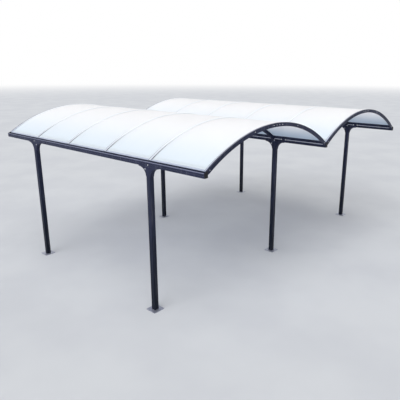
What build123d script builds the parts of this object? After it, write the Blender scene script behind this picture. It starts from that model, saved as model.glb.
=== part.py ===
from build123d import *
import math
import os

# A free-standing double carport. Two barrel-vaulted bays stand side by side on six
# square posts. The origin is on the ground under the middle of the roof: +X runs across
# the two bays, +Y along the length of the vaults and +Z up. Sizes are in millimetres.

# Whole carport
roof_length = 4900
bay_width = 2820
eaves_height = 2104
crown_rise = 426
post_setback = 978
panels_per_bay = 5

# Posts and their feet
post_size = 70
post_wall = 3
post_corner = 6
head_thickness = 4
foot_size = 180
foot_thickness = 6
foot_corner = 12
anchor_spacing = 130
anchor_hole = 12
stub_height = 120
stub_wall = 4

# Knee brackets under the beams
knee_reach = 150
knee_height = 130
knee_toe = 10
knee_width = 60

# Gutter beams
gutter_width = 60
gutter_drop = 74
gutter_wall = 3
chamber_height = 28
lip_drop = 10
lip_bead_radius = 4
lip_setback = 2
flange_reach = 56
flange_return = 8
end_cap_thickness = 3

# End arches
arch_setback = 5
arch_width = 40
arch_depth = 46
arch_box_width = 22
arch_upstand = 8

# Ribs, and what they share with the end arches
rib_width = 50
rib_depth = 50
rib_box_width = 44
seat_thickness = 3
notch_clearance = 0.5

# Roof sheets, seam covers and edge seals
sheet_thickness = 6
sheet_lap = 10
seam_gap = 10
edge_gap = 3
seam_cover_width = 42
seam_cover_height = 7
seam_cover_bevel = 4
edge_seal_width = 22
edge_seal_toe = 1.5

# Gap between pieces that seat on each other
seat_gap = 0.3

# Sizes that follow from the ones above
half_length = roof_length / 2
half_gutter = gutter_width / 2
wall_span = bay_width / 2 - half_gutter
half_span = wall_span + sheet_lap
roof_radius = (half_span**2 + crown_rise**2) / (2 * crown_rise)
roof_centre_z = eaves_height + crown_rise - roof_radius
half_angle = math.degrees(math.asin(half_span / roof_radius))
gutter_bottom = eaves_height - gutter_drop
trough_floor = gutter_bottom + chamber_height
lip_top = eaves_height - lip_drop
post_y = half_length - post_setback
edge_line = half_length - arch_setback - arch_width / 2
rib_pitch = 2 * edge_line / panels_per_bay
bays = {"near": -bay_width / 2, "far": bay_width / 2}
rows = {"near": -bay_width, "valley": 0, "far": bay_width}
bay_sides = {"near": [1], "valley": [-1, 1], "far": [-1]}
ends = {"front": -1, "rear": 1}
line_places = [-edge_line + rib_pitch * index for index in range(panels_per_bay + 1)]
rib_places = line_places[1:-1]
sheet_end = half_length - arch_setback - arch_box_width - edge_gap
sheet_starts = [-sheet_end] + [y + seam_gap / 2 for y in rib_places]
sheet_stops = [y - seam_gap / 2 for y in rib_places] + [sheet_end]


def write(part, name):
    """Label a finished piece and write it as one STEP file."""
    part.label = name
    export_step(part, f"parts/{name}.step")


def under_sheet(span):
    """Height just under the sheet, at this distance from the middle line of a bay."""
    radius = roof_radius - sheet_thickness - seat_gap
    return roof_centre_z + math.sqrt(radius**2 - span**2)


def springing_plane(bay_x, y):
    """Section plane at an arch's first end: its x runs along +Y and its y along the radius."""
    lean = math.radians(half_angle)
    return Plane(
        origin=(bay_x, y, roof_centre_z),
        x_dir=(0, 1, 0),
        z_dir=(math.cos(lean), 0, math.sin(lean)),
    )


def ring_block(width, low, high, centre=0):
    """Rectangle of a roof piece's section: its bottom and top count from the sheet's top."""
    with Locations((centre, roof_radius + (low + high) / 2)):
        Rectangle(width, high - low)


def sweep_bay(bay_x):
    """Turn the section just drawn about the middle line of a bay, from gutter to gutter."""
    revolve(
        axis=Axis((bay_x, 0, roof_centre_z), (0, 1, 0)),
        revolution_arc=2 * half_angle,
    )


def trim_between_beams(bay_x):
    """Cut an arch's body off square where it seats against the walls of the two beams."""
    with Locations((bay_x, 0, eaves_height)):
        Box(
            2 * (wall_span - seat_gap),
            2 * roof_length,
            4 * crown_rise,
            mode=Mode.INTERSECT,
        )


# Posts, feet and knees
def make_post(x, y):
    """Square hollow post on its foot plate, with a closed head under its gutter beam."""
    inner = post_size - 2 * post_wall
    with BuildPart() as post:
        with BuildSketch(Plane.XY.offset(foot_thickness)):
            with Locations((x, y)):
                RectangleRounded(post_size, post_size, post_corner)
                RectangleRounded(inner, inner, post_corner - post_wall, mode=Mode.SUBTRACT)
        extrude(amount=gutter_bottom - foot_thickness)
        with BuildSketch(Plane.XY.offset(gutter_bottom)):
            with Locations((x, y)):
                Rectangle(inner, inner)
        extrude(amount=-head_thickness)
    return post.part


def make_foot(x, y):
    """Foot plate with four anchor holes and a stub that stands inside the post."""
    stub_size = post_size - 2 * post_wall - 2 * seat_gap
    stub_inner = stub_size - 2 * stub_wall
    with BuildPart() as foot:
        with BuildSketch():
            with Locations((x, y)):
                RectangleRounded(foot_size, foot_size, foot_corner)
                with GridLocations(anchor_spacing, anchor_spacing, 2, 2):
                    Circle(anchor_hole / 2, mode=Mode.SUBTRACT)
        extrude(amount=foot_thickness)
        with BuildSketch(Plane.XY.offset(foot_thickness)) as stub:
            with Locations((x, y)):
                Rectangle(stub_size, stub_size)
            chamfer(stub.vertices(), post_corner - post_wall)
            with Locations((x, y)):
                Rectangle(stub_inner, stub_inner, mode=Mode.SUBTRACT)
        extrude(amount=stub_height)
    return foot.part


def make_knees(x, y):
    """Pair of brackets with a hollow curved soffit, between a post's head and its beam."""
    toe = (knee_reach, -knee_toe)
    heel = (knee_toe, -knee_height)
    with BuildPart() as knees:
        for side in (-1, 1):
            face = Plane(
                origin=(x, y + side * post_size / 2, gutter_bottom),
                x_dir=(0, side, 0),
                z_dir=(side, 0, 0),
            )
            with BuildSketch(face):
                with BuildLine():
                    Polyline(heel, (0, -knee_height), (0, 0), (knee_reach, 0), toe)
                    EllipticalCenterArc(
                        (knee_reach, -knee_height),
                        knee_reach - knee_toe,
                        knee_height - knee_toe,
                        start_angle=90,
                        arc_size=90,
                    )
                make_face()
            extrude(amount=knee_width / 2, both=True)
    return knees.part


# Gutter beams
def beam_plane(x, side, y=0):
    """Section plane of a beam at this place along it; its x points to this side."""
    return Plane(origin=(x, y, 0), x_dir=(side, 0, 0), z_dir=(0, -side, 0))


def draw_chamber():
    """Closed chamber along the bottom of a beam."""
    with Locations((0, gutter_bottom + chamber_height / 2)):
        Rectangle(gutter_width, chamber_height)
        Rectangle(
            gutter_width - 2 * gutter_wall,
            chamber_height - 2 * gutter_wall,
            mode=Mode.SUBTRACT,
        )


def draw_bay_wall():
    """Trough wall towards a bay at -x, with the sloping flange that the sheets lie on."""
    flange_top = under_sheet(wall_span - flange_reach)
    corner = under_sheet(wall_span)
    slope = (flange_top - corner) / flange_reach
    drop = gutter_wall * math.hypot(1, slope)
    far = -half_gutter - flange_reach
    Polygon(
        (-half_gutter, trough_floor),
        (gutter_wall - half_gutter, trough_floor),
        (gutter_wall - half_gutter, under_sheet(wall_span + gutter_wall)),
        (-half_gutter, corner),
        (far, flange_top),
        (far, flange_top - drop - flange_return),
        (far + gutter_wall, flange_top - drop - flange_return),
        (far + gutter_wall, flange_top - drop - gutter_wall * slope),
        (-half_gutter, corner - drop),
        align=None,
    )


def draw_lip_wall():
    """Outer wall of an eaves trough, a little set back under its rounded lip."""
    outer = half_gutter - lip_setback
    with Locations((outer - gutter_wall / 2, (trough_floor + lip_top - lip_bead_radius) / 2)):
        Rectangle(gutter_wall, lip_top - lip_bead_radius - trough_floor)
    with Locations((half_gutter - lip_bead_radius, lip_top - lip_bead_radius)):
        Circle(lip_bead_radius)


def notch_flange(x, side):
    """Notches of one width in a beam's flange, where ribs and end arches seat on its wall."""
    reach = flange_reach + notch_clearance
    width = max(arch_width, rib_width) + 2 * notch_clearance
    middle = x - side * (half_gutter + reach / 2)
    with Locations(*[(middle, y, eaves_height) for y in line_places]):
        Box(reach, width, gutter_drop, mode=Mode.SUBTRACT)


def make_beam(x, sides):
    """Gutter beam; sides says on which of its sides, -1 or 1, a vault springs from it."""
    with BuildPart() as beam:
        for side in sides:
            with BuildSketch(beam_plane(x, -side)):
                draw_chamber()
                draw_bay_wall()
                if len(sides) == 1:
                    draw_lip_wall()
            extrude(amount=half_length - end_cap_thickness, both=True)
        for side in sides:
            notch_flange(x, -side)
    return beam.part


def draw_end_cap():
    """End plate of a trough with its bay at -x; its top climbs from the lip to the arch."""
    crest = eaves_height + arch_upstand
    Polygon(
        (-half_gutter, gutter_bottom),
        (half_gutter, gutter_bottom),
        (half_gutter, lip_top),
        (sheet_lap - half_gutter, crest),
        (-half_gutter, crest),
        align=None,
    )


def make_end_caps(end):
    """Plates that close the ends of the three beams at one end of the roof."""
    y = end * (half_length - end_cap_thickness / 2)
    with BuildPart() as caps:
        for row, x in rows.items():
            for side in bay_sides[row]:
                with BuildSketch(beam_plane(x, -side, y)):
                    draw_end_cap()
                extrude(amount=end_cap_thickness / 2, both=True)
    return caps.part


# Roof arches, sheets and seam covers
def make_end_arch(bay_x, end):
    """Curved edge beam: a box that stands above the sheets, with a ledge under their edge."""
    face_y = end * (half_length - arch_setback)
    ledge = arch_width - arch_box_width
    box_middle = -end * arch_box_width / 2
    ledge_middle = -end * (arch_box_width + ledge / 2)
    seat_top = -sheet_thickness - seat_gap
    with BuildPart() as arch:
        with BuildSketch(springing_plane(bay_x, face_y)):
            ring_block(arch_box_width, -arch_depth, seat_gap, box_middle)
            ring_block(ledge, seat_top - seat_thickness, seat_top, ledge_middle)
        sweep_bay(bay_x)
        trim_between_beams(bay_x)
        with BuildSketch(springing_plane(bay_x, face_y)):
            ring_block(arch_box_width, seat_gap, arch_upstand, box_middle)
        sweep_bay(bay_x)
    return arch.part


def make_ribs(bay_x):
    """Curved ribs under the seams of one bay, each with a seat for the edges of two sheets."""
    seat_top = -sheet_thickness - seat_gap
    with BuildPart() as ribs:
        for y in rib_places:
            with BuildSketch(springing_plane(bay_x, y)):
                ring_block(rib_box_width, -rib_depth, seat_top)
                ring_block(rib_width, seat_top - seat_thickness, seat_top)
            sweep_bay(bay_x)
        trim_between_beams(bay_x)
    return ribs.part


def make_sheet(bay_x, index):
    """Curved roof sheet between two rib lines, from gutter to gutter."""
    width = sheet_stops[index] - sheet_starts[index]
    with BuildPart() as sheet:
        with BuildSketch(springing_plane(bay_x, sheet_starts[index] + width / 2)):
            ring_block(width, -sheet_thickness, 0)
        sweep_bay(bay_x)
    return sheet.part


def make_seam_covers(bay_x):
    """Bevelled strips over the seams of one bay, and the wedge seals inside its end arches."""
    base = seam_cover_width / 2
    crown = base - seam_cover_bevel
    low = roof_radius + seat_gap
    high = low + seam_cover_height
    seal_high = roof_radius + arch_upstand
    with BuildPart() as covers:
        for y in rib_places:
            with BuildSketch(springing_plane(bay_x, y)):
                Polygon((-base, low), (base, low), (crown, high), (-crown, high), align=None)
            sweep_bay(bay_x)
        for end in ends.values():
            heel = -end * (arch_box_width + seat_gap)
            toe = heel - end * edge_seal_width
            with BuildSketch(springing_plane(bay_x, end * (half_length - arch_setback))):
                Polygon(
                    (heel, low), (toe, low), (toe, low + edge_seal_toe), (heel, seal_high), align=None
                )
            sweep_bay(bay_x)
    return covers.part


os.makedirs("parts", exist_ok=True)
for row, row_x in rows.items():
    for end_name, end in ends.items():
        write(make_post(row_x, end * post_y), f"{row}_{end_name}_post")
        write(make_foot(row_x, end * post_y), f"{row}_{end_name}_foot")
        write(make_knees(row_x, end * post_y), f"{row}_{end_name}_knees")

for row, sides in bay_sides.items():
    write(make_beam(rows[row], sides), f"{row}_gutter_beam")
for end_name, end in ends.items():
    write(make_end_caps(end), f"{end_name}_gutter_caps")

for bay, bay_x in bays.items():
    for end_name, end in ends.items():
        write(make_end_arch(bay_x, end), f"{bay}_{end_name}_arch")
    write(make_ribs(bay_x), f"{bay}_bay_ribs")
    write(make_seam_covers(bay_x), f"{bay}_bay_seam_covers")
    for index in range(panels_per_bay):
        write(make_sheet(bay_x, index), f"{bay}_sheet_{index + 1}")
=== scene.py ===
"""Looks of a free-standing double carport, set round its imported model.

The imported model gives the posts, feet, knees, gutter beams, arches, ribs, roof sheets and
seam covers. This file dresses them and adds what shows from close by: rubber beads, end
profiles, sealing strips, lip trims, screws and bolts. Sizes are in metres, +X runs across
the bays and +Y along the vaults.
"""

import logging
import math
from dataclasses import dataclass, field
from enum import Enum

import bmesh
import bpy
from mathutils import Matrix, Vector


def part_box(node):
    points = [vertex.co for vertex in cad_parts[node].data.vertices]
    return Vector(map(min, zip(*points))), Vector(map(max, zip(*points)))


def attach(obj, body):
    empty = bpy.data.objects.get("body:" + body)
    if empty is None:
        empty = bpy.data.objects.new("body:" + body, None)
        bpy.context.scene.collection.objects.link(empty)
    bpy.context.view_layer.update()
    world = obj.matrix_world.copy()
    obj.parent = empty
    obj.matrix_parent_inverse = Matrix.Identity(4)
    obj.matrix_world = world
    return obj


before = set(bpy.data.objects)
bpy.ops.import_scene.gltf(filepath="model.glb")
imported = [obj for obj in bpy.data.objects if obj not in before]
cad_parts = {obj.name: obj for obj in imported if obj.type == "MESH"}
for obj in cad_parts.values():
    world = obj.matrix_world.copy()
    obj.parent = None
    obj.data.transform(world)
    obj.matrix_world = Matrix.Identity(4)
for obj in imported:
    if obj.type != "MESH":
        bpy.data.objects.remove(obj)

LOG = logging.getLogger("carport")
# Height of the sheets' lower ends.
EAVES = 2.104
# Room between a bead, strip or trim and what it lies on.
CLEARANCE = 0.0002
# Room under a screw's head, under a washer and on it.
SEAT = 0.0001
# Points of a piece that are nearer to each other than this become one.
MERGE = 1e-6
# A point that is nearer to a cutting plane than this lies on it.
ON_PLANE = 1e-7
# A wave texture of scale 1 turns by this many radians in a metre.
WAVE_TURN = 20

Tree = bpy.types.NodeTree
Socket = bpy.types.NodeSocket
Material = bpy.types.Material
BMesh = bmesh.types.BMesh
Feed = Socket | tuple | float | str
Triple = tuple[float, float, float]
MULTIPLY = {"operation": "MULTIPLY"}
HIGHER = {"operation": "MAXIMUM"}


class Slot(Enum):
    """Material slots of the record that the pieces take their finish from."""

    FRAME = "coated_frame"
    STEEL = "galvanised_steel"
    SHEET = "roof_sheet"
    COVER = "seam_cover"
    CAP = "end_cap"


class Bay(Enum):
    """The two vaults, by the side of the middle line that they stand on."""

    NEAR = -1
    FAR = 1


class End(Enum):
    """The two ends of the roof, by their side along +Y."""

    FRONT = -1
    REAR = 1


def linear(hex_colour: str) -> tuple[float, float, float, float]:
    """Turn an sRGB hex colour into linear values.

    Args:
        hex_colour: six hex digits after a hash.

    Returns:
        Linear red, green and blue, and an alpha of 1.
    """
    parts = [int(hex_colour[place : place + 2], 16) / 255 for place in (1, 3, 5)]
    red, green, blue = (
        part / 12.92 if part <= 0.04045 else ((part + 0.055) / 1.055) ** 2.4 for part in parts
    )
    return (red, green, blue, 1.0)


def add_node(
    tree: Tree,
    kind: str,
    inputs: dict[str | int, Feed] | None = None,
    settings: dict[str, object] | None = None,
) -> bpy.types.Node:
    """Add a shader node with its settings and links.

    Args:
        tree: the material's or the world's nodes.
        kind: the node's type.
        inputs: what feeds its inputs, by name or place: an output socket, a value or a hex
            colour.
        settings: attributes of the node, by name.

    Returns:
        The new node.
    """
    node = tree.nodes.new(kind)
    for name, value in (settings or {}).items():
        setattr(node, name, value)
    for key, value in (inputs or {}).items():
        if isinstance(value, Socket):
            tree.links.new(value, node.inputs[key])
        else:
            node.inputs[key].default_value = linear(value) if isinstance(value, str) else value
    return node


# Finishes
@dataclass(frozen=True)
class Band:
    """The values of a pattern between which a share or a roughness goes from low to high."""

    start: float
    end: float
    low: float = 0.0
    high: float = 1.0
    way: str = "SMOOTHSTEP"

    @property
    def settings(self) -> dict[str, object]:
        """How the map range node goes from low to high."""
        return {"interpolation_type": self.way}

    def inputs(self, pattern: Socket) -> dict[str | int, Feed]:
        """What feeds the map range node that reads a pattern."""
        return {
            "Value": pattern,
            "From Min": self.start,
            "From Max": self.end,
            "To Min": self.low,
            "To Max": self.high,
        }


@dataclass(frozen=True)
class Relief:
    """How deep a pattern is pressed into a surface, in metres, and how much of it counts."""

    depth: float
    strength: float

    def inputs(self, pattern: Socket) -> dict[str | int, Feed]:
        """What feeds the bump node that reads a pattern."""
        return {"Height": pattern, "Distance": self.depth, "Strength": self.strength}


@dataclass(frozen=True)
class Finish:
    """A surface of the carport. Each kind adds its own nodes to a new material."""

    name: str

    def material(self) -> Material:
        """Make the finish's material.

        Returns:
            The new material.
        """
        material = bpy.data.materials.new(self.name)
        material.use_nodes = True
        tree = material.node_tree
        tree.nodes.clear()
        place = add_node(tree, "ShaderNodeTexCoord").outputs["Object"]
        add_node(tree, "ShaderNodeOutputMaterial", {"Surface": self.surface(tree, place)})
        return material

    def surface(self, tree: Tree, place: Socket) -> Socket:
        """Build the shader; every finish has its own."""
        raise NotImplementedError

    @staticmethod
    def mottle(tree: Tree, place: Socket, grain: Triple, detail: float) -> Socket:
        """Soft random pattern of a real size.

        Args:
            tree: the material's nodes.
            place: object coordinates.
            grain: size of its patches along X, Y and Z, in metres.
            detail: how many finer layers it has.

        Returns:
            A value about 0.5 that runs from 0 to 1.
        """
        scale = tuple(1 / size for size in grain)
        spread = add_node(tree, "ShaderNodeMapping", {"Vector": place, "Scale": scale})
        inputs = {"Vector": spread.outputs["Vector"], "Scale": 1.0}
        inputs |= {"Detail": detail, "Roughness": 0.55}
        return add_node(tree, "ShaderNodeTexNoise", inputs).outputs["Fac"]

    @staticmethod
    def layer(tree: Tree, under: Feed, over: Feed, *shown: tuple[Band, Socket]) -> Socket:
        """Lay a colour over another where patterns let it show.

        Args:
            tree: the material's nodes.
            under: the lower colour.
            over: the upper colour.
            shown: bands with the patterns that they read. Their shares are multiplied.

        Returns:
            The mixed colour.
        """
        nodes = [
            add_node(tree, "ShaderNodeMapRange", band.inputs(pattern), band.settings)
            for band, pattern in shown
        ]
        share = nodes[0].outputs["Result"]
        for node in nodes[1:]:
            both = {0: share, 1: node.outputs["Result"]}
            share = add_node(tree, "ShaderNodeMath", both, MULTIPLY).outputs["Value"]
        inputs = {0: share, 6: under, 7: over}
        return add_node(tree, "ShaderNodeMix", inputs, {"data_type": "RGBA"}).outputs[2]

    @staticmethod
    def skin(
        tree: Tree,
        colour: Feed,
        rough: tuple[Band, Socket],
        relief: tuple[Relief, Socket] | None,
        constants: dict[str, float],
    ) -> Socket:
        """Give a colour its gloss and its relief.

        Args:
            tree: the material's nodes.
            colour: what the surface is painted with.
            rough: band of its roughness, with the pattern that it reads.
            relief: its relief with the pattern that it reads, or None for a smooth surface.
            constants: what else the shader is given, by name.

        Returns:
            The shader.
        """
        band, pattern = rough
        worn = add_node(tree, "ShaderNodeMapRange", band.inputs(pattern), band.settings)
        inputs = {"Base Color": colour, "Roughness": worn.outputs["Result"], **constants}
        if relief:
            shape, pattern = relief
            bump = add_node(tree, "ShaderNodeBump", shape.inputs(pattern))
            inputs["Normal"] = bump.outputs["Normal"]
        return add_node(tree, "ShaderNodeBsdfPrincipled", inputs).outputs["BSDF"]

    @staticmethod
    def facing_up(tree: Tree) -> Socket:
        """How far a surface faces the sky, from -1 to 1."""
        normal = add_node(tree, "ShaderNodeNewGeometry").outputs["Normal"]
        return add_node(tree, "ShaderNodeSeparateXYZ", {"Vector": normal}).outputs["Z"]

    @staticmethod
    def edges(tree: Tree, radius: float) -> Socket:
        """Mask of the outer edges.

        Args:
            tree: the material's nodes.
            radius: how far it reaches from an edge.

        Returns:
            A value from 0 on a flat face to about 0.3 on a sharp edge.
        """
        rounded = add_node(tree, "ShaderNodeBevel", {"Radius": radius}, {"samples": 4})
        plain = add_node(tree, "ShaderNodeNewGeometry")
        both = {0: rounded.outputs["Normal"], 1: plain.outputs["Normal"]}
        same = add_node(tree, "ShaderNodeVectorMath", both, {"operation": "DOT_PRODUCT"})
        rest = {0: 1.0, 1: same.outputs["Value"]}
        clamped = {"operation": "SUBTRACT", "use_clamp": True}
        return add_node(tree, "ShaderNodeMath", rest, clamped).outputs["Value"]


@dataclass(frozen=True)
class PowderCoat(Finish):
    """Aluminium with a baked polyester powder coat, satin anthracite.

    The powder melts into a very slightly dimpled skin, so highlights are broad and soft.
    It is painted lighter towards the roof: a painted sky reflection on the beams, and painted
    shade on the posts below them. Rain leaves pale vertical marks on it, level tops are paler
    with dust and with a painted highlight of the sky, and the outer edges are rubbed lighter.
    """

    coat: str = "#101623"
    # Painted light: the coat towards the roof, lit by a painted sky reflection.
    bleached: str = "#292E46"
    shade: str = "#131724"
    rubbed: str = "#6B6D7C"
    # Dust, and on level tops also a painted highlight of the sky.
    dust_and_sheen: str = "#A9ABB8"
    # Painted light by height: lighter towards the roof, with the posts below in painted shade.
    painted_light_by_height: Band = Band(0.1, 2.1)
    shade_by_patch: Band = Band(0.35, 0.65, high=0.35)
    dust_by_mark: Band = Band(0.52, 0.75, high=0.1)
    # Level tops paler: partly dust, partly a painted sky highlight.
    dust_and_sheen_by_slope: Band = Band(0.82, 0.99, high=0.6)
    dust_and_sheen_by_patch: Band = Band(0.3, 0.6, low=0.7)
    rub_by_edge: Band = Band(0.02, 0.28, high=0.55)
    roughness: Band = Band(0.3, 0.7, 0.36, 0.5)
    specular: float = 0.12
    patch: float = 0.35
    mark: Triple = (0.03, 0.03, 0.6)
    # Real dimples are about 2 mm across; they are drawn 6 mm across so that they show.
    dimple: float = 0.006
    relief: Relief = Relief(0.0004, 0.12)
    edge: float = 0.0025

    def surface(self, tree: Tree, place: Socket) -> Socket:
        """Coat, rain marks, dust and rubbed edges over a dimpled skin.

        Args:
            tree: the material's nodes.
            place: object coordinates.

        Returns:
            The shader.
        """
        patches = self.mottle(tree, place, (self.patch,) * 3, detail=3.0)
        marks = self.mottle(tree, place, self.mark, detail=3.0)
        dimples = self.mottle(tree, place, (self.dimple,) * 3, detail=1.0)
        height = add_node(tree, "ShaderNodeSeparateXYZ", {"Vector": place}).outputs["Z"]
        slope = self.facing_up(tree)
        rim = self.edges(tree, self.edge)
        # Painted light: lighter towards the roof.
        colour = self.layer(tree, self.coat, self.bleached, (self.painted_light_by_height, height))
        colour = self.layer(tree, colour, self.shade, (self.shade_by_patch, patches))
        colour = self.layer(tree, colour, self.dust_and_sheen, (self.dust_by_mark, marks))
        # Level tops paler with dust and with a painted sky highlight.
        colour = self.layer(
            tree, colour, self.dust_and_sheen, (self.dust_and_sheen_by_slope, slope), (self.dust_and_sheen_by_patch, patches)
        )
        colour = self.layer(tree, colour, self.rubbed, (self.rub_by_edge, rim))
        gloss = {"IOR": 1.5, "Specular IOR Level": self.specular}
        return self.skin(tree, colour, (self.roughness, patches), (self.relief, dimples), gloss)


@dataclass(frozen=True)
class GalvanisedSteel(Finish):
    """Steel plate dipped in molten zinc.

    The zinc freezes in crystals, the spangle, which shine by turns, and weathers to a matt
    blue grey with a whiter bloom.
    """

    zinc: str = "#A0A4B4"
    dull: str = "#7A7E91"
    bloom: str = "#C4C7D1"
    dull_by_tone: Band = Band(0.0, 1.0, high=0.6, way="LINEAR")
    bloom_by_patch: Band = Band(0.5, 0.7, high=0.6)
    roughness: Band = Band(0.0, 1.0, 0.34, 0.56)
    metallic: float = 0.75
    spangle: float = 0.014
    patch: float = 0.05
    relief: Relief = Relief(0.0005, 0.2)

    def surface(self, tree: Tree, place: Socket) -> Socket:
        """Spangled zinc with a bloom in patches.

        Args:
            tree: the material's nodes.
            place: object coordinates.

        Returns:
            The shader.
        """
        crystals = {"Vector": place, "Scale": 1 / self.spangle}
        cells = add_node(tree, "ShaderNodeTexVoronoi", crystals).outputs["Color"]
        tone = add_node(tree, "ShaderNodeSeparateColor", {"Color": cells}).outputs["Red"]
        patches = self.mottle(tree, place, (self.patch,) * 3, detail=4.0)
        colour = self.layer(tree, self.zinc, self.dull, (self.dull_by_tone, tone))
        colour = self.layer(tree, colour, self.bloom, (self.bloom_by_patch, patches))
        metal = {"Metallic": self.metallic}
        return self.skin(tree, colour, (self.roughness, tone), (self.relief, patches), metal)


@dataclass(frozen=True)
class OpalSheet(Finish):
    """Extruded twin-wall polycarbonate, opal white.

    The white filler scatters daylight, so the sheet is almost white from above and glows
    softly from below. The outer skin is glossy and gently wavy, and rain carries a thin film
    of dirt down the slope to the gutters. Towards the gutters the top is painted bluer, a
    painted sky reflection, and the underside and the light through it are painted darker,
    painted shade with some of the film of dirt.
    """

    sheet: str = "#FCFCFC"
    # Bluer towards the gutters: a painted reflection of the sky.
    painted_sky_tint: str = "#EFF7FC"
    film: str = "#CDD2D8"
    under: str = "#FBFAFD"
    # Underside towards the gutters: painted shade, with some film of dirt.
    under_shade_and_dirt: str = "#9DAEC0"
    glow: str = "#FAFAFC"
    # Light through the sheet towards the gutters, dimmed and blued as painted shade.
    glow_in_painted_shade: str = "#E8F0F9"
    low_by_height: Band = Band(EAVES, 2.53, 1.0, 0.0)
    film_by_streak: Band = Band(0.5, 0.75, high=0.1)
    film_by_low: Band = Band(0.2, 1.0, low=0.1)
    film_by_web: Band = Band(0.0, 1.0, high=0.05, way="LINEAR")
    under_by_slope: Band = Band(0.2, -0.2)
    # Painted shade on the underside, darker towards the gutters.
    under_shade_and_dirt_by_height: Band = Band(2.16, 2.4, 1.0, 0.0)
    shine: float = 0.22
    through: float = 0.48
    # The webs stand 6 mm apart; they are drawn 18 mm apart, and faintly, so that they show.
    web: float = 0.018
    ripple: float = 0.16
    run: Triple = (1.2, 0.045, 1.2)
    relief: Relief = Relief(0.002, 0.3)

    def surface(self, tree: Tree, place: Socket) -> Socket:
        """Scattering sheet with its film of dirt, over light that comes through.

        Args:
            tree: the material's nodes.
            place: object coordinates.

        Returns:
            The shader.
        """
        height = add_node(tree, "ShaderNodeSeparateXYZ", {"Vector": place}).outputs["Z"]
        band = self.low_by_height
        low = add_node(tree, "ShaderNodeMapRange", band.inputs(height), band.settings)
        streaks = self.mottle(tree, place, self.run, detail=3.0)
        ripples = self.mottle(tree, place, (self.ripple,) * 3, detail=1.0)
        scale = 1 / (self.web * WAVE_TURN / math.tau)
        wave = {"Vector": place, "Scale": scale, "Distortion": 0.0}
        webs = add_node(tree, "ShaderNodeTexWave", wave, {"bands_direction": "Y"})
        run_off = (self.film_by_low, low.outputs["Result"])
        # Painted sky reflection: bluer towards the gutters.
        colour = self.layer(tree, self.sheet, self.painted_sky_tint, (band, height))
        colour = self.layer(tree, colour, self.film, (self.film_by_streak, streaks), run_off)
        colour = self.layer(tree, colour, self.film, (self.film_by_web, webs.outputs["Fac"]))
        # Underside: painted shade with some dirt, darker towards the gutters.
        in_shade = (self.under_shade_and_dirt_by_height, height)
        below = self.layer(tree, self.under, self.under_shade_and_dirt, in_shade)
        colour = self.layer(tree, colour, below, (self.under_by_slope, self.facing_up(tree)))
        bump = add_node(tree, "ShaderNodeBump", self.relief.inputs(ripples)).outputs["Normal"]
        inputs = {"Base Color": colour, "Roughness": self.shine, "IOR": 1.58, "Normal": bump}
        skin = add_node(tree, "ShaderNodeBsdfPrincipled", inputs)
        # Light through the sheet painted dimmer towards the gutters.
        glow = self.layer(tree, self.glow, self.glow_in_painted_shade, (band, height))
        light = add_node(tree, "ShaderNodeBsdfTranslucent", {"Color": glow})
        both = {0: self.through, 1: skin.outputs["BSDF"], 2: light.outputs["BSDF"]}
        return add_node(tree, "ShaderNodeMixShader", both).outputs["Shader"]


@dataclass(frozen=True)
class Moulding(Finish):
    """Moulded or extruded plastic and rubber, plain but never quite even.

    A matt skin with a fine grain from the tool, and a little dirt in patches.
    """

    body: str
    dirt: str
    dirt_share: float = 0.25
    shine: float = 0.4
    patch: Triple = (0.2, 0.06, 0.2)
    specular: float = 0.5
    dirt_between: tuple[float, float] = (0.45, 0.75)
    shine_between: tuple[float, float] = (0.3, 0.7)
    glossier: float = 0.06
    duller: float = 0.08
    # Real tool grain is about 0.3 mm; it is drawn ten times coarser so that it shows.
    grain: float = 0.003
    relief: Relief = Relief(0.0003, 0.15)

    def tone(self, tree: Tree, place: Socket) -> Feed:
        """Colour of the clean material."""
        return self.body

    def surface(self, tree: Tree, place: Socket) -> Socket:
        """Body colour, dirt in patches and a fine grain.

        Args:
            tree: the material's nodes.
            place: object coordinates.

        Returns:
            The shader.
        """
        patches = self.mottle(tree, place, self.patch, detail=4.0)
        grain = self.mottle(tree, place, (self.grain,) * 3, detail=1.0)
        dirty = Band(*self.dirt_between, high=self.dirt_share)
        shine = Band(*self.shine_between, self.shine - self.glossier, self.shine + self.duller)
        colour = self.layer(tree, self.tone(tree, place), self.dirt, (dirty, patches))
        gloss = {"IOR": 1.5, "Specular IOR Level": self.specular}
        return self.skin(tree, colour, (shine, patches), (self.relief, grain), gloss)


@dataclass(frozen=True)
class CoverStrip(Moulding):
    """Extruded rigid strip, white like the sheets, greyer towards the gutters: partly dirt where
    rain collects below, partly painted shade.
    """

    # Greyer towards the gutters: dirt and painted shade.
    low: str = "#B9C0CD"
    # Lilac beside the arches, fading towards the crown with the painted shade.
    seal: str = "#B0B9CF"
    seal_by_reach: Band = Band(2.39, 2.4)
    low_by_height: Band = Band(EAVES, 2.4, 1.0, 0.0)

    def tone(self, tree: Tree, place: Socket) -> Feed:
        """White, greyer towards the gutters, and lilac there beside the arches: partly dirt,
        partly painted shade.

        Args:
            tree: the material's nodes.
            place: object coordinates.

        Returns:
            The colour.
        """
        parts = add_node(tree, "ShaderNodeSeparateXYZ", {"Vector": place}).outputs
        reach = add_node(tree, "ShaderNodeMath", {0: parts["Y"]}, {"operation": "ABSOLUTE"})
        from_middle = (self.seal_by_reach, reach.outputs["Value"])
        dirty = self.layer(tree, self.low, self.seal, from_middle)
        # Dirt and painted shade towards the gutters.
        return self.layer(tree, self.body, dirty, (self.low_by_height, parts["Z"]))


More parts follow.
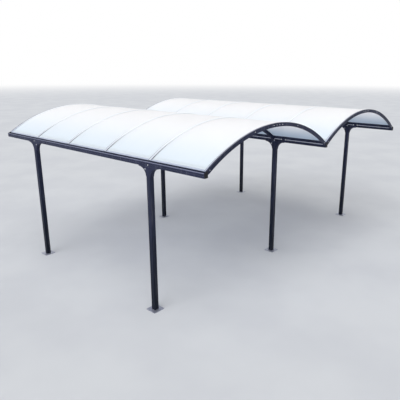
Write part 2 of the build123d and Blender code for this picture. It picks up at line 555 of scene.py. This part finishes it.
@dataclass(frozen=True)
class PaintedLightSeal(Moulding):
    """Extruded rubber bead, dark grey below and painted pale towards the crown: painted light."""

    low: str = "#2B2E37"
    low_by_height: Band = Band(EAVES, 2.42, 1.0, 0.0)

    def tone(self, tree: Tree, place: Socket) -> Feed:
        """Painted paler towards the crown: painted light."""
        height = add_node(tree, "ShaderNodeSeparateXYZ", {"Vector": place}).outputs["Z"]
        return self.layer(tree, self.body, self.low, (self.low_by_height, height))


@dataclass(frozen=True)
class StainlessSteel(Finish):
    """Cold-headed stainless screws and bolts, tumbled bright.

    A clean pale metal with small dull spots where the driver has touched it.
    """

    metal: str = "#D9DBDF"
    spot: str = "#A4A6AC"
    spot_by_patch: Band = Band(0.5, 0.7, high=0.8)
    roughness: Band = Band(0.3, 0.7, 0.22, 0.42)
    metallic: float = 0.9
    grain: float = 0.004

    def surface(self, tree: Tree, place: Socket) -> Socket:
        """Bright metal with dull spots.

        Args:
            tree: the material's nodes.
            place: object coordinates.

        Returns:
            The shader.
        """
        patches = self.mottle(tree, place, (self.grain,) * 3, detail=2.0)
        colour = self.layer(tree, self.metal, self.spot, (self.spot_by_patch, patches))
        metal = {"Metallic": self.metallic}
        return self.skin(tree, colour, (self.roughness, patches), None, metal)


@dataclass(frozen=True)
class StudioFloor(Finish):
    """Pale floor paint, matt, that fades to the white background far away."""

    paint: str = "#C2C5CA"
    cloud: str = "#BCBFC5"
    cloud_by_patch: Band = Band(0.35, 0.65)
    cloud_size: float = 1.7
    fade_by_reach: Band = Band(45.0, 110.0)
    roughness: float = 0.9
    specular: float = 0.2

    def surface(self, tree: Tree, place: Socket) -> Socket:
        """Matt paint near the carport, white to the camera beyond it.

        Args:
            tree: the material's nodes.
            place: object coordinates.

        Returns:
            The shader.
        """
        clouds = self.mottle(tree, place, (self.cloud_size,) * 3, detail=3.0)
        colour = self.layer(tree, self.paint, self.cloud, (self.cloud_by_patch, clouds))
        coat = {"Roughness": self.roughness, "Specular IOR Level": self.specular}
        matt = add_node(tree, "ShaderNodeBsdfPrincipled", {"Base Color": colour, **coat})
        white = add_node(tree, "ShaderNodeEmission", {"Strength": 1.0})
        reach = add_node(tree, "ShaderNodeVectorMath", {0: place}, {"operation": "LENGTH"})
        band = self.fade_by_reach
        inputs = band.inputs(reach.outputs["Value"])
        far = add_node(tree, "ShaderNodeMapRange", inputs, band.settings)
        seen = add_node(tree, "ShaderNodeLightPath").outputs["Is Camera Ray"]
        rays = {0: far.outputs["Result"], 1: seen}
        share = add_node(tree, "ShaderNodeMath", rays, MULTIPLY).outputs["Value"]
        both = {0: share, 1: matt.outputs["BSDF"], 2: white.outputs["Emission"]}
        return add_node(tree, "ShaderNodeMixShader", both).outputs["Shader"]


def made(kind: type[Finish], name: str, **looks: Feed) -> Material:
    """Field that holds the material of a finish, made when its book is."""
    return field(default_factory=kind(name, **looks).material)


@dataclass
class FinishBook:
    """All materials of the carport, each made once."""

    coat: Material = made(PowderCoat, "satin_powder_coat")
    # The same coat painted paler: a painted highlight of the sky along the rounded outer gutter
    # lips.
    lip_highlight_coat: Material = made(
        PowderCoat, "chalky_powder_coat", coat="#5F647A", bleached="#666B83", shade="#565A6D"
    )
    zinc: Material = made(GalvanisedSteel, "hot_dip_zinc")
    opal: Material = made(OpalSheet, "opal_twin_wall_sheet")
    # Extruded rigid PVC strip, pale and satin, dusty in patches.
    cover: Material = made(CoverStrip, "pale_cover_strip", body="#E4E8EE", dirt="#D3D6DB")
    # Moulded polypropylene, black and matt, with chalky patches from the sun.
    cap: Material = made(
        Moulding,
        "black_moulded_cap",
        body="#0D0D13",
        dirt="#2A2A34",
        dirt_share=0.4,
        shine=0.5,
        patch=(0.03,) * 3,
        specular=0.25,
    )
    # Extruded synthetic rubber, dull, with dust in patches; its pale body is painted light.
    weathered_seal: Material = made(
        PaintedLightSeal,
        "weathered_rubber_seal",
        body="#DDE1E8",
        dirt="#A2A6AE",
        dirt_share=0.15,
        shine=0.62,
        patch=(0.05,) * 3,
    )
    # Soft co-extruded sealing lip, pale lilac grey and satin; its pale tone is partly painted
    # light, standing in for a line of light along the beams.
    lip_seal: Material = made(
        Moulding,
        "lilac_grey_lip_seal",
        body="#C5CADB",
        dirt="#9EA2AF",
        dirt_share=0.35,
        shine=0.45,
        patch=(0.12,) * 3,
    )
    # Translucent edge profile over the open webs of the sheets, cloudy with dust.
    end_profile: Material = made(
        Moulding,
        "cloudy_end_profile",
        body="#A4ADC1",
        dirt="#8A92A4",
        dirt_share=0.4,
        shine=0.35,
        patch=(0.05, 0.2, 0.05),
    )
    stainless: Material = made(StainlessSteel, "bright_stainless")

    def by_slot(self, slot: Slot) -> Material:
        """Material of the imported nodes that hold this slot."""
        return {
            Slot.FRAME: self.coat,
            Slot.STEEL: self.zinc,
            Slot.SHEET: self.opal,
            Slot.COVER: self.cover,
            Slot.CAP: self.cap,
        }[slot]


# The carport's plan
@dataclass(frozen=True)
class Plan:
    """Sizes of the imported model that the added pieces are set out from."""

    half_length: float = 2.45
    bay_width: float = 2.82
    eaves: float = EAVES
    crown_rise: float = 0.426
    half_beam: float = 0.03
    sheet_lap: float = 0.01
    sheet_gap: float = 0.01
    sheet_thickness: float = 0.006
    arch_setback: float = 0.005
    arch_width: float = 0.04
    arch_box: float = 0.022
    edge_gap: float = 0.003
    seal_width: float = 0.022
    seat_gap: float = 0.0003
    cover_half: float = 0.021
    post_half: float = 0.035
    post_y: float = 1.472
    sheets_per_bay: int = 5

    @property
    def half_span(self) -> float:
        """From a bay's middle line to the end of its sheets."""
        return self.bay_width / 2 - self.half_beam + self.sheet_lap

    @property
    def radius(self) -> float:
        """Radius of the sheets' upper face."""
        return (self.half_span**2 + self.crown_rise**2) / (2 * self.crown_rise)

    @property
    def centre_z(self) -> float:
        """Height of the vaults' axis."""
        return self.eaves + self.crown_rise - self.radius

    @property
    def half_angle(self) -> float:
        """Half of the arc that a sheet covers, in radians."""
        return math.asin(self.half_span / self.radius)

    @property
    def arch_face(self) -> float:
        """From the middle of the roof to the outer face of an end arch."""
        return self.half_length - self.arch_setback

    @property
    def rib_lines(self) -> list[float]:
        """Lines of the ribs between the two end arches.

        Returns:
            Y of each.
        """
        last = self.arch_face - self.arch_width / 2
        pitch = 2 * last / self.sheets_per_bay
        return [-last + pitch * line for line in range(1, self.sheets_per_bay)]

    @property
    def sheet_reaches(self) -> list[tuple[float, float]]:
        """Side edges of the sheets.

        Returns:
            Y of the front and the rear edge of each.
        """
        outer = self.arch_face - self.arch_box - self.edge_gap
        starts = [-outer] + [line + self.sheet_gap / 2 for line in self.rib_lines]
        stops = [line - self.sheet_gap / 2 for line in self.rib_lines] + [outer]
        return list(zip(starts, stops))

    @property
    def post_rows(self) -> dict[str, float]:
        """X of each row of posts."""
        return {"near": -self.bay_width, "valley": 0.0, "far": self.bay_width}

    def bay_middle(self, bay: Bay) -> float:
        """X of a bay's middle line."""
        return bay.value * self.bay_width / 2

    def on_arc(self, bay: Bay, angle: float, y: float, height: float) -> Vector:
        """Point over a bay.

        Args:
            bay: the vault.
            angle: from the crown, in radians, positive towards +X.
            y: place along the vault.
            height: over the sheets' upper face.

        Returns:
            The point, in metres.
        """
        reach = self.radius + height
        x = self.bay_middle(bay) + reach * math.sin(angle)
        return Vector((x, y, self.centre_z + reach * math.cos(angle)))


# Pieces
def edges_of(verts: list[bmesh.types.BMVert]) -> list[bmesh.types.BMEdge]:
    """Edges that end at some points, each once and always in the same order."""
    return list(dict.fromkeys(edge for vert in verts for edge in vert.link_edges))


def round_edges(mesh: BMesh, edges: list[bmesh.types.BMEdge], width: float, segments: int) -> None:
    """Bevel some edges round.

    Args:
        mesh: the piece's bmesh.
        edges: those to round.
        width: how far from an edge the rounding starts.
        segments: how many faces it has across.
    """
    bmesh.ops.bevel(
        mesh,
        geom=edges,
        offset=width,
        segments=segments,
        profile=0.5,
        affect="EDGES",
        material=-1,
    )


def standing(foot: Vector, facing: Vector) -> Matrix:
    """Place of a fastener that stands on a face, with its own Z along its axis."""
    return Matrix.Translation(foot) @ facing.to_track_quat("Z", "Y").to_matrix().to_4x4()


@dataclass
class Piece:
    """A piece that is being made: a bmesh that ends as one object of the carport.

    Edges that turn by more than sharp_over, in degrees, stay sharp.
    """

    name: str
    slot: Slot
    material: Material
    sharp_over: float = 35.0
    mesh: BMesh = field(default_factory=bmesh.new)

    def done(self) -> None:
        """Close the piece and hand it to the frame."""
        bmesh.ops.remove_doubles(self.mesh, verts=self.mesh.verts, dist=MERGE)
        bmesh.ops.recalc_face_normals(self.mesh, faces=self.mesh.faces)
        data = bpy.data.meshes.new(self.name)
        self.mesh.to_mesh(data)
        self.mesh.free()
        data.shade_smooth()
        data.set_sharp_from_angle(angle=math.radians(self.sharp_over))
        data.materials.append(self.material)
        piece = bpy.data.objects.new(self.name, data)
        bpy.context.scene.collection.objects.link(piece)
        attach(piece, "root")
        LOG.info("made %s with %d faces", self.name, len(data.polygons))


@dataclass
class SubAssembly:
    """A group of pieces that are made together."""

    plan: Plan
    book: FinishBook

    def build(self) -> None:
        """Make the pieces; every group has its own."""
        raise NotImplementedError


@dataclass
class ArcBeads(SubAssembly):
    """Beads that lie on the sheets and follow a vault from one gutter to the other.

    A bead's outer side has side_share of its height, and slope_share of its width slopes
    down to it.
    """

    width: float = 0.008
    height: float = 0.004
    side_share: float = 0.45
    slope_share: float = 0.3
    end_gap: float = 0.004
    steps: int = 36

    def bead(self, mesh: BMesh, bay: Bay, inner: float, way: int) -> None:
        """Spin the section of one bead over a bay.

        Args:
            mesh: the piece's bmesh.
            bay: the vault that it lies on.
            inner: Y of its high side.
            way: the way along Y to its outer side, -1 or 1.
        """
        outer = inner + way * self.width
        top = CLEARANCE + self.height
        outline = (
            (inner, CLEARANCE),
            (outer, CLEARANCE),
            (outer, CLEARANCE + self.height * self.side_share),
            (outer - way * self.width * self.slope_share, top),
            (inner, top),
        )
        start = -self.plan.half_angle + self.end_gap / self.plan.radius
        ring = [mesh.verts.new(self.plan.on_arc(bay, start, y, height)) for y, height in outline]
        loop = [mesh.edges.new((ring[place - 1], ring[place])) for place in range(len(ring))]
        swept = bmesh.ops.spin(
            mesh,
            geom=ring + loop,
            cent=(self.plan.bay_middle(bay), 0.0, self.plan.centre_z),
            axis=(0.0, 1.0, 0.0),
            angle=-2 * start,
            steps=self.steps,
            use_merge=False,
            use_duplicate=False,
        )
        last = [part for part in swept["geom_last"] if isinstance(part, bmesh.types.BMEdge)]
        bmesh.ops.contextual_create(mesh, geom=loop)
        bmesh.ops.contextual_create(mesh, geom=last)


@dataclass
class SeamGaskets(ArcBeads):
    """Rubber beads that press on the sheets along both sides of every seam cover."""

    def build(self) -> None:
        """One piece for each bay, with two beads a seam."""
        reach = self.plan.cover_half + CLEARANCE
        for bay in Bay:
            name = f"{bay.name.lower()}_seam_gaskets"
            piece = Piece(name, Slot.COVER, self.book.weathered_seal)
            for line in self.plan.rib_lines:
                for side in (-1, 1):
                    self.bead(piece.mesh, bay, line + side * reach, side)
            piece.done()


@dataclass
class EdgeBeads(ArcBeads):
    """Fine beads along the inner border of the edge seal of each end arch."""

    width: float = 0.004
    height: float = 0.0026
    side_share: float = 0.5
    slope_share: float = 0.25

    def build(self) -> None:
        """One bead for each end of each bay."""
        inset = self.plan.arch_box + self.plan.seal_width + 2 * self.plan.seat_gap
        reach = self.plan.arch_face - inset
        for bay in Bay:
            for end in End:
                name = f"{bay.name.lower()}_{end.name.lower()}_edge_bead"
                piece = Piece(name, Slot.COVER, self.book.weathered_seal)
                self.bead(piece.mesh, bay, end.value * reach, -end.value)
                piece.done()


@dataclass
class EndProfiles(SubAssembly):
    """Edge profiles that close the open webs of the sheets along both gutters."""

    leg: float = 0.022
    wall: float = 0.0012
    under: float = 0.005
    gap: float = 0.0003
    shorter: float = 0.001

    def outline(self) -> list[tuple[float, float]]:
        """Section round a sheet's end.

        Returns:
            Its corners, as distance in from the end and height.
        """
        low = -self.plan.sheet_thickness - self.gap
        outer = self.gap + self.wall
        return [
            (self.leg, self.gap),
            (self.leg, outer),
            (-outer, outer),
            (-outer, low - self.wall),
            (self.under, low - self.wall),
            (self.under, low),
            (-self.gap, low),
            (-self.gap, self.gap),
        ]

    def profile(self, mesh: BMesh, bay: Bay, side: int, first: float, last: float) -> None:
        """Add one profile.

        Args:
            mesh: the piece's bmesh.
            bay: the vault.
            side: the gutter that it lies at, -1 or 1.
            first: Y of the sheet's front edge.
            last: Y of the sheet's rear edge.
        """
        start = first + self.shorter
        ring = [
            self.plan.on_arc(
                bay, side * (self.plan.half_angle - inward / self.plan.radius), start, height
            )
            for inward, height in self.outline()
        ]
        face = mesh.faces.new([mesh.verts.new(corner) for corner in ring])
        drawn = bmesh.ops.extrude_face_region(mesh, geom=[face], use_keep_orig=True)
        moved = [part for part in drawn["geom"] if isinstance(part, bmesh.types.BMVert)]
        length = last - first - 2 * self.shorter
        bmesh.ops.translate(mesh, verts=moved, vec=(0.0, length, 0.0))

    def build(self) -> None:
        """One piece for each bay: ten profiles, as long as the sheets are wide."""
        for bay in Bay:
            piece = Piece(f"{bay.name.lower()}_end_profiles", Slot.SHEET, self.book.end_profile)
            for side in (-1, 1):
                for first, last in self.plan.sheet_reaches:
                    self.profile(piece.mesh, bay, side, first, last)
            piece.done()


@dataclass
class StraightStrips(SubAssembly):
    """Straight strips with two rounded edges that lie on the faces of the gutter beams."""

    height: float = 0.012
    proud: float = 0.004
    middle_z: float = 2.0795
    rounded_share: float = 0.8

    def strip(self, mesh: BMesh, face: float, out: int, start: float, stop: float) -> None:
        """Add one strip.

        Args:
            mesh: the piece's bmesh.
            face: X of the beam's face.
            out: the way that the face looks, -1 or 1.
            start: Y of its front end.
            stop: Y of its rear end.
        """
        middle = Vector((face + out * self.proud / 2, (start + stop) / 2, self.middle_z))
        stretched = Matrix.Diagonal((self.proud, stop - start, self.height, 1.0))
        place = Matrix.Translation(middle) @ stretched
        block = bmesh.ops.create_cube(mesh, size=1.0, matrix=place)
        outer = [
            edge
            for edge in edges_of(block["verts"])
            if all(abs(vert.co.x - face) > self.proud / 2 for vert in edge.verts)
            and abs(edge.verts[0].co.y - edge.verts[1].co.y) > self.height
        ]
        round_edges(mesh, outer, self.proud * self.rounded_share, segments=3)


@dataclass
class WallSeals(StraightStrips):
    """Pale sealing strips that run along the bay faces of the gutter beams; their pale tone is
    partly painted light, standing in for a line of light along the beams.
    """

    end_gap: float = 0.05
    bolt_stretch: tuple[float, float] = (0.122, 0.246)

    def stretches(self) -> list[tuple[float, float]]:
        """Strips along the roof, with room left for the bolts.

        Returns:
            Y of the start and the stop of each.
        """
        near_post, far_post = (self.plan.post_y + reach for reach in self.bolt_stretch)
        end = self.plan.half_length - self.end_gap
        return [(-end, -far_post), (-near_post, near_post), (far_post, end)]

    def build(self) -> None:
        """Strips for each side of each bay, rounded towards the bay."""
        reach = self.plan.bay_width / 2 - self.plan.half_beam - CLEARANCE
        for bay in Bay:
            piece = Piece(f"{bay.name.lower()}_wall_seals", Slot.COVER, self.book.lip_seal)
            for side in (-1, 1):
                face = self.plan.bay_middle(bay) + side * reach
                for start, stop in self.stretches():
                    self.strip(piece.mesh, face, -side, start, stop)
            piece.done()


@dataclass
class LipTrims(StraightStrips):
    """Rounded trims pressed on the outer lips of the two outer gutters, in a paler coat that
    paints the highlight of the lips.
    """

    height: float = 0.013
    proud: float = 0.005
    middle_z: float = 2.0885
    end_gap: float = 0.006

    def build(self) -> None:
        """One trim along each side of the carport, between the end caps."""
        reach = self.plan.half_length - self.end_gap
        for bay in Bay:
            # The pale coat is a painted highlight of the lip.
            piece = Piece(f"{bay.name.lower()}_lip_trim", Slot.FRAME, self.book.lip_highlight_coat)
            face = bay.value * (self.plan.bay_width + self.plan.half_beam + CLEARANCE)
            self.strip(piece.mesh, face, bay.value, -reach, reach)
            piece.done()


@dataclass(frozen=True)
class Bolt:
    """Hexagon bolt head on a round washer, both rounded along their upper rim."""

    across_flats: float = 0.013
    head_height: float = 0.0055
    head_rounding: float = 0.0009
    washer: float = 0.024
    washer_height: float = 0.002
    washer_rounding: float = 0.0006
    washer_sides: int = 20

    def add(self, mesh: BMesh, foot: Vector, facing: Vector) -> None:
        """Add one bolt.

        Args:
            mesh: the piece's bmesh.
            foot: where its axis meets the face that it is screwed to.
            facing: the way that its head points.
        """
        stand = standing(foot, facing)
        back = stand.inverted()
        corner = self.across_flats / math.sqrt(3)
        over_washer = self.washer_height + 2 * SEAT
        for sides, radius, base, height, rounding in (
            (self.washer_sides, self.washer / 2, SEAT, self.washer_height, self.washer_rounding),
            (6, corner, over_washer, self.head_height, self.head_rounding),
        ):
            middle = base + height / 2
            disc = bmesh.ops.create_cone(
                mesh,
                cap_ends=True,
                segments=sides,
                radius1=radius,
                radius2=radius,
                depth=height,
                matrix=stand @ Matrix.Translation((0.0, 0.0, middle)),
            )
            upper = [vert for vert in disc["verts"] if (back @ vert.co).z > middle]
            rim = [edge for edge in edges_of(upper) if all(vert in upper for vert in edge.verts)]
            round_edges(mesh, rim, rounding, segments=2)


@dataclass(frozen=True)
class PanScrew:
    """Domed screw head, flat on top, with a round socket."""

    width: float = 0.012
    height: float = 0.0042
    flat_share: float = 0.86
    socket_rim: float = 0.0006
    socket_slope: float = 0.0003
    socket_depth: float = 0.0016

    def add(self, mesh: BMesh, foot: Vector, facing: Vector) -> None:
        """Add one screw.

        Args:
            mesh: the piece's bmesh.
            foot: where its axis meets the face that it is screwed to.
            facing: the way that its head points.
        """
        squashed = Matrix.Diagonal((1.0, 1.0, 2 * self.height / self.width, 1.0))
        dome = bmesh.ops.create_uvsphere(
            mesh,
            u_segments=16,
            v_segments=8,
            radius=self.width / 2,
            matrix=standing(foot, facing) @ squashed,
        )["verts"]
        faces = dict.fromkeys(face for vert in dome for face in vert.link_faces)
        skin = dome + edges_of(dome) + list(faces)
        for height, cleared in (
            (SEAT, {"clear_inner": True}),
            (self.height * self.flat_share, {"clear_outer": True}),
        ):
            cut = bmesh.ops.bisect_plane(
                mesh,
                geom=skin,
                dist=ON_PLANE,
                plane_co=foot + facing * height,
                plane_no=facing,
                **cleared,
            )
            rim = [part for part in cut["geom_cut"] if isinstance(part, bmesh.types.BMEdge)]
            flat = bmesh.ops.contextual_create(mesh, geom=rim)["faces"]
            skin = [part for part in cut["geom"] if part.is_valid]
        bmesh.ops.inset_region(
            mesh, faces=flat, thickness=self.socket_rim, depth=0.0, use_even_offset=True
        )
        bmesh.ops.inset_region(
            mesh, faces=flat, thickness=self.socket_slope, depth=-self.socket_depth
        )


@dataclass
class Fasteners(SubAssembly):
    """Screws and bolts that show on the frame.

    Places on an arch count from its crown, and wall_bolts from a post to the roof's end.
    """

    arch_screw: PanScrew = PanScrew()
    beam_bolt: Bolt = Bolt()
    knee_screw: Bolt = Bolt(across_flats=0.01, head_height=0.0045, washer=0.018)
    splice: tuple[float, ...] = (-0.085, -0.015, 0.05, 0.12)
    arch_places: tuple[float, ...] = (-1.43, -0.5, 0.52, 1.43)
    arch_down: float = 0.02
    wall_bolts: tuple[float, ...] = (0.142, 0.226)
    wall_bolt_z: float = 2.0795
    head_bolt_z: float = 2.051
    knee_in: float = 0.022
    knee_down: float = 0.038

    def build(self) -> None:
        """One piece of screws for each arch, beam and post."""
        self.arch_screws()
        self.beam_bolts()
        self.post_screws()

    def arch_screws(self) -> None:
        """Crown splice and fixing screws on the outer face of each end arch."""
        for bay in Bay:
            for end in End:
                name = f"{bay.name.lower()}_{end.name.lower()}"
                low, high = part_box(f"{name}_arch")
                face = low.y if end is End.FRONT else high.y
                piece = Piece(f"{name}_arch_screws", Slot.STEEL, self.book.stainless)
                for along in self.splice + self.arch_places:
                    foot = self.plan.on_arc(bay, along / self.plan.radius, face, -self.arch_down)
                    self.arch_screw.add(piece.mesh, foot, Vector((0, end.value, 0)))
                piece.done()

    def beam_bolts(self) -> None:
        """Bolts into the posts' heads, and a pair beyond each on the faces to the bays."""
        for row, middle in self.plan.post_rows.items():
            piece = Piece(f"{row}_beam_bolts", Slot.STEEL, self.book.stainless)
            for side in (-1, 1):
                x = middle + side * self.plan.half_beam
                out = Vector((side, 0, 0))
                # The outer faces of the two eaves look away from the bays.
                pair = self.wall_bolts if side * middle <= 0 else ()
                for end in End:
                    y = end.value * self.plan.post_y
                    self.knee_screw.add(piece.mesh, Vector((x, y, self.head_bolt_z)), out)
                    for along in pair:
                        place = Vector((x, y + end.value * along, self.wall_bolt_z))
                        self.beam_bolt.add(piece.mesh, place, out)
            piece.done()

    def post_screws(self) -> None:
        """A screw through each knee that points to the middle of the roof, on both faces."""
        for row in self.plan.post_rows:
            for end in End:
                name = f"{row}_{end.name.lower()}"
                low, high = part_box(f"{name}_knees")
                piece = Piece(f"{name}_post_screws", Slot.STEEL, self.book.stainless)
                y = end.value * (self.plan.post_y - self.plan.post_half - self.knee_in)
                for side, face in ((-1, low.x), (1, high.x)):
                    place = Vector((face, y, high.z - self.knee_down))
                    self.knee_screw.add(piece.mesh, place, Vector((side, 0, 0)))
                piece.done()


@dataclass
class FrameDresser:
    """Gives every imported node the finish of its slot."""

    book: FinishBook

    def dress(self) -> None:
        """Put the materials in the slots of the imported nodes."""
        for name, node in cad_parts.items():
            for place in node.material_slots:
                place.material = self.book.by_slot(Slot(place.material.name.split(".")[0]))
            LOG.info("dressed %s", name)


# Studio
@dataclass(frozen=True)
class Lamp:
    """A very wide lamp: its colour, strength, way and spread in degrees."""

    name: str
    colour: str
    strength: float
    way: Triple
    spread: float = 50.0

    def hang(self) -> None:
        """Add the lamp to the scene."""
        light = bpy.data.lights.new(self.name, "SUN")
        light.color = linear(self.colour)[:3]
        light.energy = self.strength
        light.angle = math.radians(self.spread)
        lamp = bpy.data.objects.new(self.name, light)
        lamp.rotation_euler = Vector(self.way).to_track_quat("-Z", "Y").to_euler()
        bpy.context.scene.collection.objects.link(lamp)


@dataclass
class Studio:
    """Floor, light and camera."""

    floor_half: float = 300.0
    floor_cells: int = 4
    sky: str = "#FAFAFA"
    sky_strength: float = 0.7
    overhead: Lamp = Lamp("overhead_lamp", "#FFFDF8", 0.93, (0.2, 0.25, -1.0))
    near_side: Lamp = Lamp("side_lamp", "#FAFAFB", 1.75, (1.0, 0.05, -0.6))
    camera_place: Triple = (-6.364, -5.732, 3.205)
    yaw: float = math.radians(48.789)
    pitch: float = math.radians(-15.912)
    roll: float = math.radians(0.208)
    focal_pixels: float = 439.88
    centre_pixels: tuple[float, float] = (218.08, 195.78)
    picture_pixels: float = 400.0
    film: float = 36.0
    sight: float = 1000.0

    def build(self) -> None:
        """Set up the studio."""
        self.floor()
        self.world()
        self.overhead.hang()
        self.near_side.hang()
        self.camera()
        bpy.context.scene.view_settings.view_transform = "Standard"

    def floor(self) -> None:
        """Level floor under the feet, large enough to reach the horizon."""
        mesh = bmesh.new()
        cells = self.floor_cells
        bmesh.ops.create_grid(mesh, x_segments=cells, y_segments=cells, size=self.floor_half)
        data = bpy.data.meshes.new("studio_floor")
        mesh.to_mesh(data)
        mesh.free()
        data.materials.append(StudioFloor("pale_floor_paint").material())
        floor = bpy.data.objects.new("studio_floor", data)
        bpy.context.scene.collection.objects.link(floor)

    def world(self) -> None:
        """Soft light from all round, and a white background to the eye and in gloss."""
        world = bpy.data.worlds.new("studio_world")
        bpy.context.scene.world = world
        world.use_nodes = True
        tree = world.node_tree
        tree.nodes.clear()
        soft, white = (
            add_node(tree, "ShaderNodeBackground", {"Color": colour, "Strength": strength})
            for colour, strength in ((self.sky, self.sky_strength), ("#FFFFFF", 1.0))
        )
        rays = add_node(tree, "ShaderNodeLightPath").outputs
        seen = rays["Is Camera Ray"]
        for ray in ("Is Glossy Ray", "Is Transmission Ray"):
            either = {0: seen, 1: rays[ray]}
            seen = add_node(tree, "ShaderNodeMath", either, HIGHER).outputs["Value"]
        both = {0: seen, 1: soft.outputs["Background"], 2: white.outputs["Background"]}
        mixed = add_node(tree, "ShaderNodeMixShader", both).outputs["Shader"]
        add_node(tree, "ShaderNodeOutputWorld", {"Surface": mixed})

    def camera(self) -> None:
        """Camera at the photograph's place, with its focal length and centre."""
        turned = (
            Matrix.Rotation(-self.yaw, 4, "Z")
            @ Matrix.Rotation(math.pi / 2 + self.pitch, 4, "X")
            @ Matrix.Rotation(self.roll, 4, "Z")
        )
        view = bpy.data.cameras.new("photo_camera")
        view.sensor_fit = "HORIZONTAL"
        view.sensor_width = self.film
        view.lens = self.focal_pixels * self.film / self.picture_pixels
        view.shift_x = 0.5 - self.centre_pixels[0] / self.picture_pixels
        view.shift_y = self.centre_pixels[1] / self.picture_pixels - 0.5
        view.clip_end = self.sight
        camera = bpy.data.objects.new("photo_camera", view)
        camera.matrix_world = Matrix.Translation(self.camera_place) @ turned
        bpy.context.scene.collection.objects.link(camera)
        bpy.context.scene.camera = camera


def main() -> None:
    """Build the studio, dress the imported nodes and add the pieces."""
    logging.basicConfig(level=logging.INFO, format="%(name)s: %(message)s")
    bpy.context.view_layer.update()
    Studio().build()
    plan = Plan()
    book = FinishBook()
    FrameDresser(book).dress()
    groups = (SeamGaskets, EdgeBeads, EndProfiles, WallSeals, LipTrims, Fasteners)
    for group in groups:
        group(plan, book).build()
        LOG.info("built %s", group.__name__)


if __name__ == "__main__":
    main()
